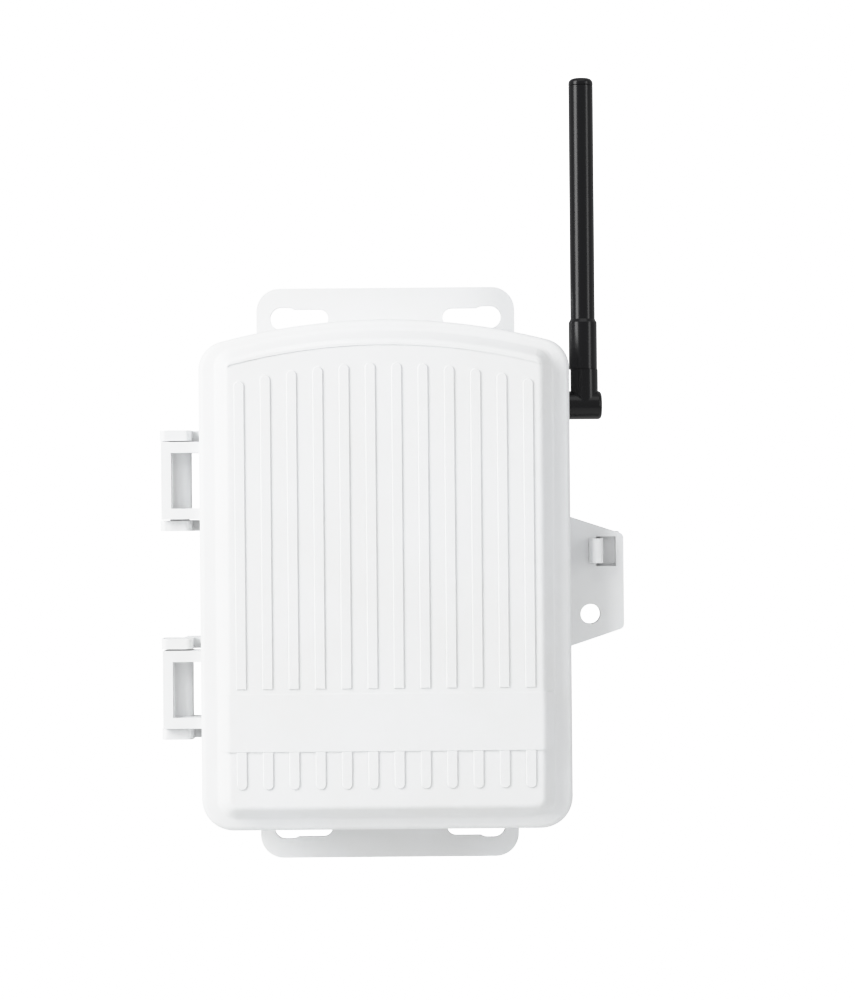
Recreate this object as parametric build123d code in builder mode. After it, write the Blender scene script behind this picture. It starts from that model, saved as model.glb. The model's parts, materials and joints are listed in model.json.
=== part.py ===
from build123d import *
import math
import os

os.makedirs("parts", exist_ok=True)

# Outdoor wireless bridge: a moulded weather shelter with a hinged door, a snap latch with a
# padlock tab, and a whip antenna on its right side. Millimetres, +Z up, front towards -Y.
# The origin is on the wall, in the middle of the mounting plate, so depths grow towards -Y.

# Door and case outline
case_half_width = 95.5
case_top = 132.3
case_bottom = -130.4
top_arc_radius = 331.0
top_corner = 15.0
bottom_corner = 16.3
base_inset = 0.8

# Depths from the wall
plate_thickness = 3.0
base_depth = 46.0
ledge_depth = 42.8
door_back = 46.3
rim_depth = 72.2
rim_fall = 2.0
rim_run = 9.3
panel_depth = 81.0
relief_depth = 81.7
base_wall = 3.0
back_round = 2.5
door_wall = 2.8

# Raised panel, ribs and blank band of the door
panel_half_width = 81.0
panel_top = 121.1
panel_bottom = -118.0
panel_arc_radius = 318.0
panel_corner = 4.5
slope_run = 5.2
rib_count = 12
rib_pitch = 13.4
rib_width = 5.2
rib_top = 109.4
rib_arc_radius = 310.0
rib_bottom = -56.8
band_top = -59.35
band_bottom = -88.65
low_rib_bottom = -108.0
lip_width = 1.3
lip_height = 0.45

# Mounting plate and its keyholes
plate_width = 140.0
plate_height = 308.8
keyhole_z = 138.1
keyhole_inner_x = 36.0
keyhole_step_x = 47.0
keyhole_wide_x = 56.5
narrow_radius = 4.9
wide_radius = 6.0

# Hinges on the left side
pin_x = -107.5
pin_depth = 50.0
pin_radius = 5.0
pin_clearance = 0.07
barrel_radius = 6.5
knuckle_wall = 1.4
knuckle_web = 7.0
hinge_z = {"upper": 50.2, "lower": -58.1}
loop_height = 40.2
ear_gap = 41.4
ear_height = 5.5
ear_left, ear_right = -117.0, -100.9
loop_left = -115.7
loop_bar = 5.1
knuckle_height = 5.7
loop_front = 63.0

# Latch tab, lug and hook on the right side
tab_end = 124.2
tab_z = -4.1
tab_root_half = 34.6
tab_end_half = 24.6
tab_back = 47.0
tab_thickness = 3.0
window_x = (109.9, 120.1)
window_z = (3.7, 19.1)
padlock_x = 106.7
padlock_z = -21.3
padlock_radius = 5.2
lug_thickness = 3.2
hook_left = 106.1
hook_stem = (110.3, 113.0)
hook_z = (5.4, 18.3)
hook_pivot_x = 111.7
hook_pivot_depth = 30.0
hook_eye_radius = 3.4
hook_stem_depth = 53.0
catch_depth = 50.4
clevis_left = 107.6
pocket_right = 122.5
pocket_floor = (23.2, 25.8)
cheek_gap = 0.4
cheek_height = 3.0
web_half = 1.5
latch_pin_radius = 1.5

# Antenna
antenna_depth = 33.0
antenna_z = 88.5
whip_x = 105.0
swivel_radius = 7.45
swivel_end = 114.5
riser_x = 105.5
riser_radius = 7.2
seam_z = 107.6
sleeve_radius = 7.4
sleeve_top = 134.0
whip_radius = 6.4
whip_top = 257.6
tip_z = 261.3
crimp_end = 80.0
crimp_radius = 2.5
thread_radius = 3.175
thread_end = 103.0
hex_flat = 4.0
nut_radius = 4.7
washer_radius = 5.4
spigot_radius = 4.8
swivel_bore = 4.77
washer_bore = 6.2
whip_wall = 1.2

# Circuit board and battery holder
board_left, board_right = -50.0, 66.0
board_low, board_high = 14.0, 104.0
board_back = 11.0
board_thickness = 1.6
board_front = board_back + board_thickness
board_hole_inset = 5.0
standoff_radius = 3.5
boss_radius = 4.0
screw_radius = 1.5
clear_hole = 1.7
screw_head = 2.9
screw_shank = 6.5
head_height = 2.0
holder_left, holder_right = -76.0, 12.0
holder_low, holder_high = -106.0, -44.0
cell_radius = 13.0
cell_length = 50.0
cell_nub = 2.0
cell_nub_radius = 3.4
cell_pitch = 28.4
cell_depth = 18.0
bay_low = -103.6
bay_length = 57.2
contact_plate = 0.5

# Cable port and vent in the bottom wall
port_x = 42.0
port_depth = 22.0
port_radius = 6.0
port_bore = 2.6
vent_x = -40.0
vent_radius = 4.0

RIGHT = Plane.YZ
FLOOR = Plane.XY


def facing(depth):
    """The plane that faces the front, this far out from the wall."""
    return Plane.XZ.offset(depth)


def arched(depth, half_width, top, bottom, arc_radius, top_round, bottom_round):
    """A case outline at one depth: flat sides and bottom, round corners and a gently arched top."""
    centre = top - arc_radius
    corner_x = half_width - top_round
    corner_z = centre + math.sqrt((arc_radius - top_round) ** 2 - corner_x**2)
    lean = math.atan2(corner_x, corner_z - centre)
    touch = (arc_radius * math.sin(lean), centre + arc_radius * math.cos(lean))
    half = (lean + math.pi / 2) / 2
    crown = (corner_x + top_round * math.sin(half), corner_z + top_round * math.cos(half))
    nick = bottom_round * (1 - math.sqrt(0.5))
    with BuildSketch(facing(depth)) as sketch:
        with BuildLine():
            for side in (-1, 1):
                edge = side * half_width
                foot = (edge, bottom + bottom_round)
                foot_middle = (side * (half_width - nick), bottom + nick)
                Line(foot, (edge, corner_z))
                ThreePointArc((edge, corner_z), (side * crown[0], crown[1]), (side * touch[0], touch[1]))
                ThreePointArc(foot, foot_middle, (side * (half_width - bottom_round), bottom))
            ThreePointArc(touch, (0, top), (-touch[0], touch[1]))
            Line((bottom_round - half_width, bottom), (half_width - bottom_round, bottom))
        make_face()
    return sketch.sketch


def case_outline(depth, inset):
    """The door's outline, or one that lies inside it by the inset."""
    return arched(
        depth,
        case_half_width - inset,
        case_top - inset,
        case_bottom + inset,
        top_arc_radius - inset,
        top_corner - inset,
        bottom_corner - inset,
    )


def panel_outline(depth, grow):
    """The raised panel's outline, grown outwards."""
    return arched(
        depth,
        panel_half_width + grow,
        panel_top + grow,
        panel_bottom - grow,
        panel_arc_radius + grow,
        panel_corner + grow,
        panel_corner + grow,
    )


def rectangle(depth, left, right, low, high):
    """An upright rectangle at one depth, from its edges."""
    with BuildSketch(facing(depth)) as sketch:
        with Locations(((left + right) / 2, (low + high) / 2)):
            Rectangle(right - left, high - low)
    return sketch.sketch


def block(left, right, low, high, back, front):
    """Add an upright block between two depths to the part that is being built."""
    extrude(rectangle(back, left, right, low, high), amount=front - back)


def disc(depth, x, z, radius):
    """A circle at one depth."""
    with BuildSketch(facing(depth)) as sketch:
        with Locations((x, z)):
            Circle(radius)
    return sketch.sketch


def round_bar(plane, x, y, radius, length, mode=Mode.ADD):
    """Add or cut a round bar that starts on a plane."""
    with BuildSketch(plane) as sketch:
        with Locations((x, y)):
            Circle(radius)
    extrude(sketch.sketch, amount=length, mode=mode)


# ---------------------------------------------------------------- base housing
base_outer = case_half_width - base_inset
base_floor = case_bottom + base_inset
hole_spots = [
    (x, z)
    for x in (board_left + board_hole_inset, board_right - board_hole_inset)
    for z in (board_low + board_hole_inset, board_high - board_hole_inset)
]
holder_spots = [(holder_left - 4, -75.0), (holder_right + 4, -75.0)]


def tab_outline(depth, root, shrink):
    """The tapered latch plate, from its root at the case out to its short end."""
    root_half = tab_root_half - shrink
    end_half = tab_end_half - shrink
    end = tab_end - shrink
    with BuildSketch(facing(depth)) as sketch:
        with BuildLine():
            Polyline(
                (root, tab_z - root_half),
                (end, tab_z - end_half),
                (end, tab_z + end_half),
                (root, tab_z + root_half),
                close=True,
            )
        make_face()
        fillet(sketch.vertices().group_by(Axis.X)[-1], 3.0)
    return sketch.sketch


with BuildPart() as base_housing:
    # the box, open at the front, with a round along its back edge
    extrude(case_outline(0, base_inset), amount=base_depth)
    fillet(base_housing.faces().sort_by(Axis.Y)[-1].edges(), back_round)
    extrude(case_outline(base_wall, base_inset + base_wall), amount=base_depth, mode=Mode.SUBTRACT)
    # the inner ledge that the door gasket lies on
    extrude(case_outline(ledge_depth - 3, base_inset + base_wall - 0.2), amount=3)
    extrude(case_outline(ledge_depth - 4, base_inset + base_wall + 4.5), amount=5, mode=Mode.SUBTRACT)
    # the mounting plate, with its keyholes
    with BuildSketch(facing(0)) as plate:
        Rectangle(plate_width, plate_height)
        fillet(plate.vertices().group_by(Axis.Z)[-1], 12.5)
        fillet(plate.vertices().group_by(Axis.Z)[0], 15.2)
    extrude(amount=plate_thickness)
    with BuildSketch(facing(-1)) as keyholes:
        for side in (-1, 1):
            for row in (-keyhole_z, keyhole_z):
                with Locations((side * (keyhole_inner_x + keyhole_wide_x) / 2, row)):
                    SlotCenterToCenter(keyhole_wide_x - keyhole_inner_x, 2 * narrow_radius)
                wide_centre = (keyhole_step_x + keyhole_wide_x) / 2
                with Locations((side * (wide_centre + wide_radius / 2), row)):
                    SlotOverall(keyhole_wide_x - keyhole_step_x + wide_radius, 2 * wide_radius)
    extrude(amount=plate_thickness + 2, mode=Mode.SUBTRACT)
    # hinge ears, in pairs round each pin
    for middle in hinge_z.values():
        for low in (middle - ear_gap / 2 - ear_height, middle + ear_gap / 2):
            with BuildSketch(FLOOR.offset(low)) as ear:
                with Locations(((ear_left + ear_right) / 2, -pin_depth)):
                    RectangleRounded(ear_right - ear_left, 16, 3)
                with Locations((-100.2, -37)):
                    Rectangle(12, 17)
            extrude(amount=ear_height)
            round_bar(FLOOR.offset(low - 1), pin_x, -pin_depth, pin_radius, ear_height + 2, Mode.SUBTRACT)
    # the lug behind the door's tab, with a pocket for the hook on its back
    extrude(tab_outline(base_depth - lug_thickness, base_outer - 1, 1.5), amount=lug_thickness)
    pocket_low = hook_z[0] - cheek_gap
    pocket_high = hook_z[1] + cheek_gap
    lug_back = base_depth - lug_thickness
    block(clevis_left, pocket_right, pocket_low - cheek_height, pocket_low, pocket_floor[0], lug_back)
    block(clevis_left, pocket_right, pocket_high, pocket_high + cheek_height, pocket_floor[0], lug_back)
    block(clevis_left, pocket_right, pocket_low - 1, pocket_high + 1, *pocket_floor)
    block(base_outer - 1, base_outer + 13.5, tab_z - web_half, tab_z + web_half, 14, lug_back)
    extrude(rectangle(base_depth - 4, 108.4, window_x[1], *window_z), amount=5, mode=Mode.SUBTRACT)
    extrude(disc(base_depth - 4, padlock_x, padlock_z, padlock_radius), amount=5, mode=Mode.SUBTRACT)
    round_bar(FLOOR.offset(0), hook_pivot_x, -hook_pivot_depth, latch_pin_radius, 24, Mode.SUBTRACT)
    # standoffs for the board and bosses for the battery holder
    standoff_foot = plate_thickness - 0.5
    for spot in hole_spots:
        extrude(disc(standoff_foot, *spot, standoff_radius), amount=board_back - standoff_foot)
        extrude(disc(4, *spot, screw_radius), amount=12, mode=Mode.SUBTRACT)
    for spot in holder_spots:
        extrude(disc(standoff_foot, *spot, boss_radius), amount=5.5)
        extrude(disc(3.5, *spot, screw_radius), amount=12, mode=Mode.SUBTRACT)
    # holes for the antenna connector, the cable grommet and the vent
    round_bar(RIGHT.offset(85), -antenna_depth, antenna_z, 3.2, 15, Mode.SUBTRACT)
    round_bar(FLOOR.offset(base_floor - 2), port_x, -port_depth, port_radius, 8, Mode.SUBTRACT)
    round_bar(FLOOR.offset(base_floor - 2), vent_x, -port_depth, vent_radius, 8, Mode.SUBTRACT)
base_housing.part.label = "base_housing"
export_step(base_housing.part, "parts/base_housing.step")

with BuildPart() as rim_gasket:
    extrude(case_outline(ledge_depth, base_inset + base_wall + 0.2), amount=1.8)
    extrude(case_outline(ledge_depth - 1, base_inset + base_wall + 4.0), amount=4, mode=Mode.SUBTRACT)
rim_gasket.part.label = "rim_gasket"
export_step(rim_gasket.part, "parts/rim_gasket.step")

# ---------------------------------------------------------------- door
# the panel's slopes start one millimetre inside the rim
slope_back = rim_depth - 1.0
slope_start = slope_run * (panel_depth - slope_back) / (panel_depth - rim_depth)
band_proud = 0.5

with BuildPart() as panel_form:
    # the raised panel: straight slopes between two outlines, with a rounded top edge
    loft([panel_outline(slope_back, slope_start), panel_outline(panel_depth, 0)])
    fillet(panel_form.faces().sort_by(Axis.Y)[0].edges(), 3.6)

with BuildPart() as band_form:
    # the same form one relief height further out, kept only over the band
    loft([panel_outline(slope_back, slope_start + band_proud), panel_outline(relief_depth, 0.4)])
    fillet(band_form.faces().sort_by(Axis.Y)[0].edges(), 3.6)
    with BuildSketch(facing(rim_depth + 1.2)):
        with Locations((0, (band_top + band_bottom) / 2)):
            Rectangle(4 * case_half_width, band_top - band_bottom)
    extrude(amount=20, mode=Mode.INTERSECT)

with BuildPart() as door:
    # the skirt and rim
    skirt_depth = rim_depth - rim_fall
    extrude(case_outline(door_back, 0), amount=skirt_depth - door_back)
    # the rim falls a little towards the outside, so its cone runs on under the panel
    hidden_run = rim_run + 2.7
    cone_depth = skirt_depth + rim_fall * hidden_run / rim_run
    loft([case_outline(skirt_depth, 0), case_outline(cone_depth, hidden_run)])
    fillet(door.edges().filter_by_position(Axis.Y, -skirt_depth - 0.01, -skirt_depth + 0.01), 3.5)
    add(panel_form.part)
    foot = door.edges().filter_by_position(Axis.Y, -rim_depth - 0.3, -rim_depth + 0.3)
    inner = [edge for edge in foot if abs(edge.center().Z) < case_top - 4.5]
    fillet([edge for edge in inner if abs(edge.center().X) < 90], 3.0)
    # upper ribs with rounded tops and lower ribs with rounded feet
    with BuildSketch(facing(panel_depth - 0.3)) as ribs:
        for count in range(rib_count):
            x = (count - (rib_count - 1) / 2) * rib_pitch
            top = rib_top - rib_arc_radius + math.sqrt(rib_arc_radius**2 - x**2) - rib_width / 2
            with Locations((x, (top + rib_bottom) / 2)):
                Rectangle(rib_width, top - rib_bottom)
            with Locations((x, top)):
                Circle(rib_width / 2)
            foot_z = low_rib_bottom + rib_width / 2
            with Locations((x, (band_bottom + foot_z) / 2)):
                Rectangle(rib_width, band_bottom - foot_z)
            with Locations((x, foot_z)):
                Circle(rib_width / 2)
    extrude(amount=relief_depth - panel_depth + 0.3)
    chamfer(door.faces().sort_by(Axis.Y)[: 2 * rib_count].edges(), 0.3)
    # a low lip along the panel's arched top edge, thinning out towards its corners
    lip_foot = panel_depth - 0.5
    lip_top = panel_top - lip_width - lip_width
    lip_inside = arched(
        lip_foot,
        panel_half_width,
        lip_top,
        panel_bottom - lip_width,
        panel_arc_radius - lip_width,
        panel_corner,
        panel_corner,
    )
    with BuildSketch(facing(lip_foot)):
        add(panel_outline(lip_foot, -lip_width))
        add(lip_inside, mode=Mode.SUBTRACT)
    extrude(amount=0.5 + lip_height)
    add(band_form.part)
    # the hollow inside: the skirt first, then the space behind the panel
    hollow_depth = skirt_depth - 2.4
    extrude(case_outline(door_back, door_wall), amount=hollow_depth - door_back, mode=Mode.SUBTRACT)
    loft(
        [panel_outline(hollow_depth - 0.2, slope_run - 2.6), panel_outline(panel_depth - door_wall, -2.4)],
        mode=Mode.SUBTRACT,
    )
    # the tongue that presses on the gasket, on an inner flange
    with BuildSketch(facing(ledge_depth + 2.1)):
        add(case_outline(ledge_depth + 2.1, 4.2))
        add(case_outline(ledge_depth + 2.1, 6.6), mode=Mode.SUBTRACT)
    extrude(amount=7)
    with BuildSketch(facing(door_back + 3.2)):
        add(case_outline(door_back + 3.2, door_wall - 0.5))
        add(case_outline(door_back + 3.2, 6.6), mode=Mode.SUBTRACT)
    extrude(amount=2.4)
    # the latch tab, with the hook's window and the padlock hole
    extrude(tab_outline(tab_back, case_half_width - 1.5, 0), amount=tab_thickness)
    extrude(rectangle(tab_back - 1, *window_x, *window_z), amount=tab_thickness + 2, mode=Mode.SUBTRACT)
    padlock_hole = disc(tab_back - 1, padlock_x, padlock_z, padlock_radius)
    extrude(padlock_hole, amount=tab_thickness + 2, mode=Mode.SUBTRACT)
    # hinge loops: a guard bar in front, two knuckle bars and a barrel round the pin
    for middle in hinge_z.values():
        low = middle - loop_height / 2
        with BuildSketch(FLOOR.offset(low)) as knuckle:
            with Locations((pin_x, -pin_depth)):
                Circle(barrel_radius + knuckle_wall)
            with Locations(((loop_left - case_half_width + 1) / 2, -(pin_depth + loop_front) / 2)):
                Rectangle(-case_half_width + 1 - loop_left, loop_front - pin_depth)
            with Locations(((pin_x - case_half_width + 1) / 2, -pin_depth)):
                Rectangle(-case_half_width + 1 - pin_x, knuckle_web)
        extrude(amount=loop_height)
        with BuildSketch(FLOOR.offset(low + knuckle_height)) as inside:
            with Locations((pin_x, -pin_depth)):
                Rectangle(24, 17)
            with Locations(((loop_left + loop_bar - case_half_width) / 2, -(pin_depth + loop_front) / 2)):
                Rectangle(-case_half_width - loop_left - loop_bar, loop_front - pin_depth + 4)
            with Locations((loop_left + 4, -(pin_depth + 3.6))):
                Rectangle(12, 9)
        extrude(amount=loop_height - 2 * knuckle_height, mode=Mode.SUBTRACT)
        round_bar(FLOOR.offset(low + 0.1), pin_x, -pin_depth, barrel_radius, loop_height - 0.2)
        bore_radius = pin_radius + pin_clearance
        round_bar(FLOOR.offset(low - 1), pin_x, -pin_depth, bore_radius, loop_height + 2, Mode.SUBTRACT)
door.part.label = "door"
export_step(door.part, "parts/door.step")

# ---------------------------------------------------------------- hinge pins
for side, middle in hinge_z.items():
    pin_low = middle - ear_gap / 2 - ear_height
    with BuildPart() as hinge_pin:
        round_bar(FLOOR.offset(pin_low), pin_x, -pin_depth, pin_radius, ear_gap + 2 * ear_height)
        chamfer(hinge_pin.edges().sort_by(Axis.Z)[-1], 0.6)
    hinge_pin.part.label = f"hinge_pin_{side}"
    export_step(hinge_pin.part, f"parts/hinge_pin_{side}.step")

# ---------------------------------------------------------------- latch
with BuildPart() as latch_hook:
    # one lever in plan: an eye on the pin, a flat stem, and a rounded catch head
    with BuildSketch(FLOOR.offset(hook_z[0])) as lever:
        with Locations((hook_pivot_x, -hook_pivot_depth)):
            Circle(hook_eye_radius)
        stem_middle = ((hook_stem[0] + hook_stem[1]) / 2, -(hook_pivot_depth + hook_stem_depth) / 2)
        with Locations(stem_middle):
            Rectangle(hook_stem[1] - hook_stem[0], hook_stem_depth - hook_pivot_depth)
        with BuildLine():
            shoulder = (hook_stem[1], -56.6)
            nose = (hook_left + 0.7, -55.6)
            Polyline((hook_stem[1], -50), shoulder)
            ThreePointArc(shoulder, (110.4, -59.2), nose)
            Polyline(nose, (hook_left, -54.2), (hook_left, -catch_depth))
            Polyline((hook_left, -catch_depth), (hook_stem[0], -catch_depth), (hook_stem[1], -50))
        make_face()
    extrude(amount=hook_z[1] - hook_z[0])
    lever_length = hook_z[1] - hook_z[0] + 2
    bore_radius = latch_pin_radius + 0.05
    eye = FLOOR.offset(hook_z[0] - 1)
    round_bar(eye, hook_pivot_x, -hook_pivot_depth, bore_radius, lever_length, Mode.SUBTRACT)
latch_hook.part.label = "latch_hook"
export_step(latch_hook.part, "parts/latch_hook.step")

with BuildPart() as latch_pin:
    pin_low = hook_z[0] - cheek_gap - cheek_height
    pin_length = hook_z[1] + cheek_gap + cheek_height - pin_low
    round_bar(FLOOR.offset(pin_low), hook_pivot_x, -hook_pivot_depth, latch_pin_radius, pin_length)
latch_pin.part.label = "latch_pin"
export_step(latch_pin.part, "parts/latch_pin.step")

# ---------------------------------------------------------------- antenna
wall_face = base_outer
wall_inside = base_outer - base_wall

with BuildPart() as bulkhead_connector:
    # crimp tail, hex flange inside the wall, and threaded barrel through it
    round_bar(RIGHT.offset(crimp_end), -antenna_depth, antenna_z, crimp_radius, thread_end - crimp_end)
    round_bar(RIGHT.offset(wall_inside), -antenna_depth, antenna_z, thread_radius, thread_end - wall_inside)
    with BuildSketch(RIGHT.offset(wall_inside - 3)):
        with Locations((-antenna_depth, antenna_z)):
            RegularPolygon(hex_flat, 6, major_radius=False)
    extrude(amount=3)
bulkhead_connector.part.label = "bulkhead_connector"
export_step(bulkhead_connector.part, "parts/bulkhead_connector.step")

with BuildPart() as sealing_washer:
    round_bar(RIGHT.offset(wall_face), -antenna_depth, antenna_z, washer_radius, 1.0)
    round_bar(RIGHT.offset(wall_face - 1), -antenna_depth, antenna_z, thread_radius, 3, Mode.SUBTRACT)
sealing_washer.part.label = "sealing_washer"
export_step(sealing_washer.part, "parts/sealing_washer.step")

with BuildPart() as connector_nut:
    with BuildSketch(RIGHT.offset(wall_face + 1.0)):
        with Locations((-antenna_depth, antenna_z)):
            RegularPolygon(hex_flat, 6, major_radius=False)
    extrude(amount=2)
    round_bar(RIGHT.offset(wall_face), -antenna_depth, antenna_z, thread_radius, 5, Mode.SUBTRACT)
connector_nut.part.label = "connector_nut"
export_step(connector_nut.part, "parts/connector_nut.step")

with BuildPart() as coupling_nut:
    # the antenna's own nut, tight on the barrel; the swivel turns round it
    round_bar(RIGHT.offset(wall_face + 3.2), -antenna_depth, antenna_z, nut_radius, 8.3)
    round_bar(RIGHT.offset(wall_face + 3), -antenna_depth, antenna_z, thread_radius, 5.5, Mode.SUBTRACT)
coupling_nut.part.label = "coupling_nut"
export_step(coupling_nut.part, "parts/coupling_nut.step")

with BuildPart() as antenna_swivel:
    # a barrel along X, blunt at its end, with a riser that carries the whip
    swivel_start = wall_face + 0.6
    swivel_length = swivel_end - swivel_start
    round_bar(RIGHT.offset(swivel_start), -antenna_depth, antenna_z, swivel_radius, swivel_length)
    fillet(antenna_swivel.edges().sort_by(Axis.X)[-1], 2.0)
    round_bar(FLOOR.offset(antenna_z), riser_x, -antenna_depth, riser_radius, seam_z - 0.2 - antenna_z)
    round_bar(FLOOR.offset(seam_z - 1), whip_x, -antenna_depth, spigot_radius, 10)
    round_bar(RIGHT.offset(wall_face), -antenna_depth, antenna_z, washer_bore, 3.3, Mode.SUBTRACT)
    round_bar(RIGHT.offset(wall_face), -antenna_depth, antenna_z, swivel_bore, 12.2, Mode.SUBTRACT)
antenna_swivel.part.label = "antenna_swivel"
export_step(antenna_swivel.part, "parts/antenna_swivel.step")

with BuildPart() as antenna_sleeve:
    round_bar(FLOOR.offset(seam_z), whip_x, -antenna_depth, sleeve_radius, sleeve_top - seam_z)
    chamfer(antenna_sleeve.edges().sort_by(Axis.Z)[-1], 1.7, 0.95)
    bore_length = sleeve_top - seam_z + 2
    round_bar(FLOOR.offset(seam_z - 1), whip_x, -antenna_depth, whip_radius, bore_length, Mode.SUBTRACT)
antenna_sleeve.part.label = "antenna_sleeve"
export_step(antenna_sleeve.part, "parts/antenna_sleeve.step")

with BuildPart() as antenna_whip:
    round_bar(FLOOR.offset(seam_z + 0.3), whip_x, -antenna_depth, whip_radius, whip_top - seam_z - 0.3)
    bore_length = whip_top - seam_z + 1
    inner_radius = whip_radius - whip_wall
    round_bar(FLOOR.offset(seam_z), whip_x, -antenna_depth, inner_radius, bore_length, Mode.SUBTRACT)
    top_rings = antenna_whip.edges().filter_by(GeomType.CIRCLE).sort_by(Axis.Z)[-2:]
    chamfer(top_rings.sort_by(SortBy.RADIUS)[-1], 0.25)
antenna_whip.part.label = "antenna_whip"
export_step(antenna_whip.part, "parts/antenna_whip.step")

with BuildPart() as antenna_cap:
    round_bar(FLOOR.offset(whip_top), whip_x, -antenna_depth, whip_radius, tip_z - whip_top)
    fillet(antenna_cap.edges().sort_by(Axis.Z)[-1], 2.4)
    chamfer(antenna_cap.edges().sort_by(Axis.Z)[0], 0.25)
    round_bar(FLOOR.offset(whip_top - 5), whip_x, -antenna_depth, whip_radius - whip_wall, 5)
antenna_cap.part.label = "antenna_cap"
export_step(antenna_cap.part, "parts/antenna_cap.step")

with BuildPart() as antenna_element:
    # the sealed radiator: a thin rod with a wider sleeve over its lower half
    round_bar(FLOOR.offset(seam_z + 9.0), whip_x, -antenna_depth, 0.9, 135)
    round_bar(FLOOR.offset(seam_z + 20), whip_x, -antenna_depth, 2.6, 66)
antenna_element.part.label = "antenna_element"
export_step(antenna_element.part, "parts/antenna_element.step")

# ---------------------------------------------------------------- circuit board
with BuildPart() as main_board:
    block(board_left, board_right, board_low, board_high, board_back, board_front)
    fillet(main_board.edges().filter_by(Axis.Y), 2.0)
    for spot in hole_spots:
        extrude(disc(board_back - 1, *spot, clear_hole), amount=4, mode=Mode.SUBTRACT)
main_board.part.label = "main_board"
export_step(main_board.part, "parts/main_board.step")


def screws(name, spots, seat):
    """A group of equal pan-head screws, with their heads on one depth."""
    with BuildPart() as group:
        for spot in spots:
            extrude(disc(seat - screw_shank, *spot, screw_radius), amount=screw_shank)
            extrude(disc(seat, *spot, screw_head), amount=head_height)
        fillet(group.faces().sort_by(Axis.Y)[: len(spots)].edges(), 1.0)
        for x, z in spots:
            extrude(rectangle(seat + 1.0, x - 0.4, x + 0.4, z - 1.8, z + 1.8), amount=2, mode=Mode.SUBTRACT)
            extrude(rectangle(seat + 1.0, x - 1.8, x + 1.8, z - 0.4, z + 0.4), amount=2, mode=Mode.SUBTRACT)
    group.part.label = name
    export_step(group.part, f"parts/{name}.step")


screws("board_screws", hole_spots, board_front)

with BuildPart() as shield_can:
    block(6, 40, 58, 90, board_front, board_front + 4.2)
    fillet(shield_can.edges().filter_by(Axis.Y), 1.2)
    fillet(shield_can.faces().sort_by(Axis.Y)[0].edges(), 0.6)
shield_can.part.label = "shield_can"
export_step(shield_can.part, "parts/shield_can.step")

with BuildPart() as processor_chip:
    block(-32, -18, 58, 72, board_front, board_front + 1.6)
    chamfer(processor_chip.faces().sort_by(Axis.Y)[0].edges(), 0.3)
processor_chip.part.label = "processor_chip"
export_step(processor_chip.part, "parts/processor_chip.step")

with BuildPart() as memory_chips:
    for low in (80, 90):
        block(-30, -22, low, low + 5, board_front, board_front + 1.7)
memory_chips.part.label = "memory_chips"
export_step(memory_chips.part, "parts/memory_chips.step")

capacitor_z, capacitor_radius, capacitor_height = 45.0, 4.0, 10.5
with BuildPart() as capacitors:
    for x in (-6, 6):
        extrude(disc(board_front, x, capacitor_z, capacitor_radius), amount=capacitor_height)
    fillet(capacitors.faces().sort_by(Axis.Y)[:2].edges(), 0.7)
capacitors.part.label = "capacitors"
export_step(capacitors.part, "parts/capacitors.step")

jack_x, jack_low, jack_depth = 26.5, 16.0, 6.0
with BuildPart() as power_jack:
    block(jack_x - 4.5, jack_x + 4.5, jack_low, jack_low + 14, board_front, board_front + 11)
    fillet(power_jack.edges().filter_by(Axis.Z).sort_by(Axis.Y)[:2], 2.0)
    round_bar(FLOOR.offset(jack_low - 1), jack_x, -(board_front + jack_depth), 3.1, 11, Mode.SUBTRACT)
power_jack.part.label = "power_jack"
export_step(power_jack.part, "parts/power_jack.step")

with BuildPart() as jack_pin:
    round_bar(FLOOR.offset(jack_low + 2), jack_x, -(board_front + jack_depth), 1.0, 8)
jack_pin.part.label = "jack_pin"
export_step(jack_pin.part, "parts/jack_pin.step")

terminal_x = (42.6, 47.6, 52.6)
terminal_z = 20.5
with BuildPart() as terminal_block:
    block(40, 55.2, 16, 25, board_front, board_front + 10)
    chamfer(terminal_block.edges().filter_by(Axis.X).sort_by(Axis.Y)[:2], 1.4)
    for x in terminal_x:
        extrude(disc(board_front + 6, x, terminal_z, 1.9), amount=6, mode=Mode.SUBTRACT)
        extrude(rectangle(board_front + 1.5, x - 1.6, x + 1.6, 15, 22), amount=3.2, mode=Mode.SUBTRACT)
terminal_block.part.label = "terminal_block"
export_step(terminal_block.part, "parts/terminal_block.step")

with BuildPart() as terminal_screws:
    for x in terminal_x:
        extrude(disc(board_front + 6, x, terminal_z, 1.8), amount=2.2)
        slot = rectangle(board_front + 7.6, x - 2, x + 2, terminal_z - 0.3, terminal_z + 0.3)
        extrude(slot, amount=2, mode=Mode.SUBTRACT)
terminal_screws.part.label = "terminal_screws"
export_step(terminal_screws.part, "parts/terminal_screws.step")

led_spot = (-40.0, 84.0)
with BuildPart() as status_led:
    extrude(disc(board_front, *led_spot, 2.5), amount=4)
    fillet(status_led.faces().sort_by(Axis.Y)[0].edges(), 2.0)
    extrude(disc(board_front, *led_spot, 2.9), amount=1.0)
status_led.part.label = "status_led"
export_step(status_led.part, "parts/status_led.step")

# the test button: a square switch with a round plunger that travels half a millimetre
button_x, button_z = -40.0, 44.0
with BuildPart() as button_switch:
    block(button_x - 3, button_x + 3, button_z - 3, button_z + 3, board_front, board_front + 3.4)
    extrude(disc(board_front + 2.2, button_x, button_z, 1.85), amount=3, mode=Mode.SUBTRACT)
button_switch.part.label = "button_switch"
export_step(button_switch.part, "parts/button_switch.step")

with BuildPart() as test_button:
    extrude(disc(board_front + 2.8, button_x, button_z, 1.75), amount=3.4)
    fillet(test_button.faces().sort_by(Axis.Y)[0].edges(), 0.4)
test_button.part.label = "test_button"
export_step(test_button.part, "parts/test_button.step")

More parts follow.
